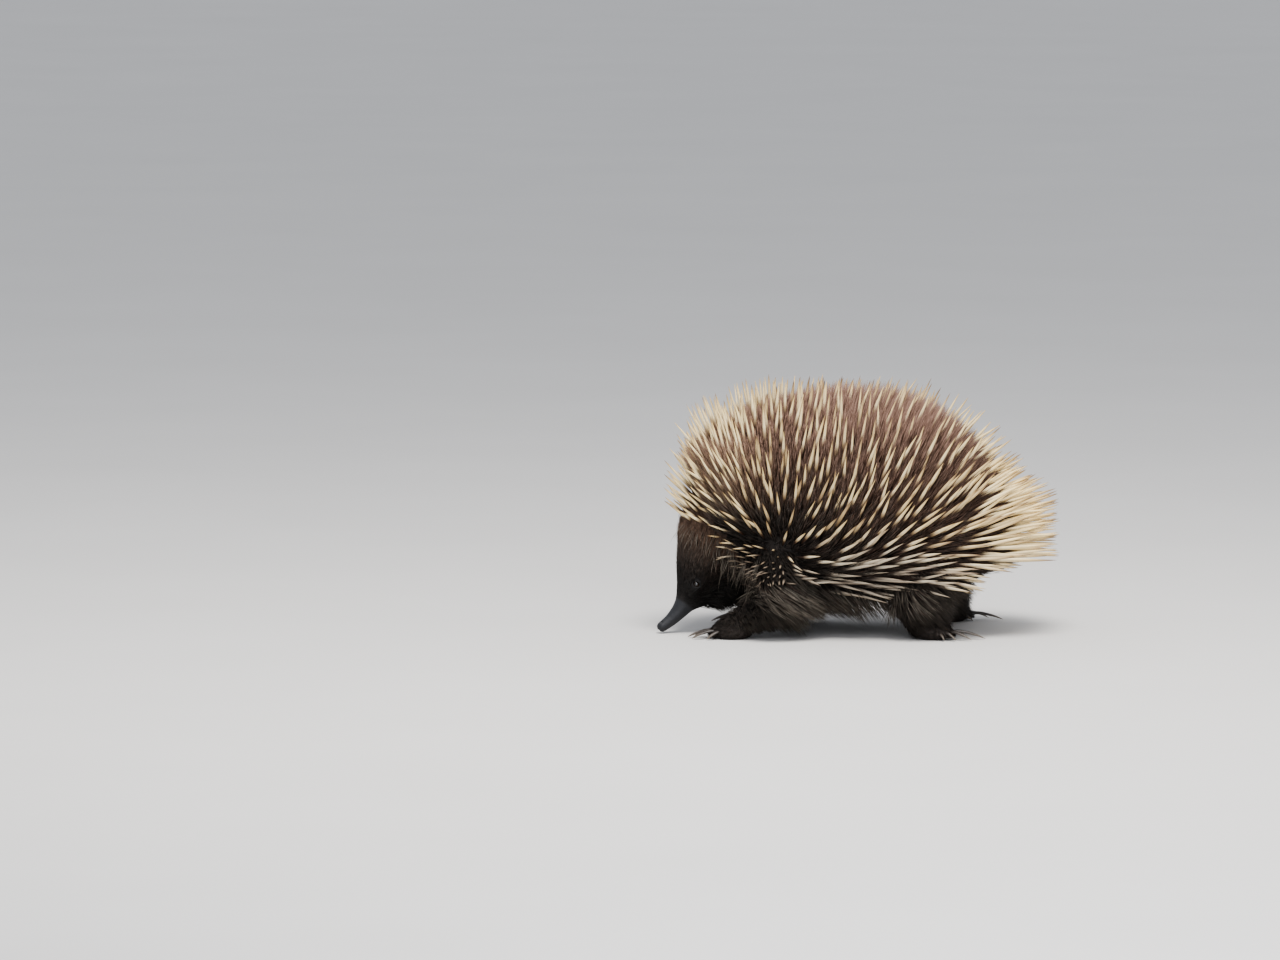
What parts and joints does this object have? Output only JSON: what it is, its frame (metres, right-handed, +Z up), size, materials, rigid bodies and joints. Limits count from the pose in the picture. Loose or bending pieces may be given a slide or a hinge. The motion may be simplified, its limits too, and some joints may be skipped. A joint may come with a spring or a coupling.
{
  "type": "short-beaked echidna",
  "caption": "Life-size still model of a short-beaked echidna in mid-stride, its head lowered and the tip of its beak to the ground.",
  "frame": {"origin": "centre of the whole model's outline on the floor", "axes": "the head points to -Y, the animal's left side is +X, +Z up"},
  "size_m": [0.244, 0.4057, 0.256],
  "materials": {
    "spines_and_fur": "coarse red-brown fur over dark skin, with smooth cream spines tipped a little darker",
    "face_hair": "short taupe-brown hair that turns near black towards the beak",
    "beak_skin": "bare, finely wrinkled blue-black skin with a dull sheen",
    "leg_hair": "coarse brown-black hair",
    "foot_skin": "short dark hair over dark skin",
    "claw_horn": "dark grey-brown horn, worn paler at the tips",
    "eye": "wet black"
  },
  "bodies": {
    "root": {"trunk": "spines_and_fur", "neck": "spines_and_fur", "tail": "spines_and_fur", "head": "face_hair", "beak": "beak_skin", "eye_left": "eye", "ear_left": "face_hair", "foreleg_left": "leg_hair", "forefoot_left": "foot_skin", "foreclaw_left_1": "claw_horn", "foreclaw_left_2": "claw_horn", "foreclaw_left_3": "claw_horn", "foreclaw_left_4": "claw_horn", "foreclaw_left_5": "claw_horn", "hindleg_left": "leg_hair", "hindfoot_left": "foot_skin", "hindclaw_left_1": "claw_horn", "hindclaw_left_2": "claw_horn", "hindclaw_left_3": "claw_horn", "hindclaw_left_4": "claw_horn", "hindclaw_left_5": "claw_horn", "eye_right": "eye", "ear_right": "face_hair", "foreleg_right": "leg_hair", "forefoot_right": "foot_skin", "foreclaw_right_1": "claw_horn", "foreclaw_right_2": "claw_horn", "foreclaw_right_3": "claw_horn", "foreclaw_right_4": "claw_horn", "foreclaw_right_5": "claw_horn", "hindleg_right": "leg_hair", "hindfoot_right": "foot_skin", "hindclaw_right_1": "claw_horn", "hindclaw_right_2": "claw_horn", "hindclaw_right_3": "claw_horn", "hindclaw_right_4": "claw_horn", "hindclaw_right_5": "claw_horn"}
  },
  "joints": []
}
